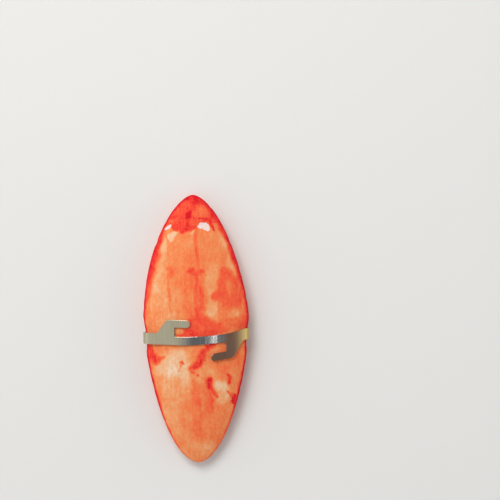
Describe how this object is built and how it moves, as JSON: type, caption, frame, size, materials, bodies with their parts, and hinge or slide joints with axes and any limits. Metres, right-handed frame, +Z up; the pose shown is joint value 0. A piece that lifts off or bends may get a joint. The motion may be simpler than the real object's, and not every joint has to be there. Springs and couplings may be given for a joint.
{
  "type": "cuttlebone",
  "caption": "Dyed cuttlebone for cage birds, lying on its belly, with a thin bent sheet-metal clip across its back whose hooks slip over cage bars.",
  "frame": {"origin": "under the middle of the part's outline, on the surface that it lies on", "axes": "+Y along the bone from its tail to its head, +Z up out of the hard back, +X to the right of the bone seen from above with the head away"},
  "size_m": [0.0476, 0.12, 0.0173],
  "materials": {
    "dyed_chalk": "dry porous chalk, unevenly dyed peach, orange and red, with undyed chips",
    "sheet_steel": "thin rolled sheet, satin, faint grain along the strip, sheared edges"
  },
  "bodies": {
    "root": {"cuttlebone": "dyed_chalk", "cage_clip": "sheet_steel"}
  },
  "joints": []
}
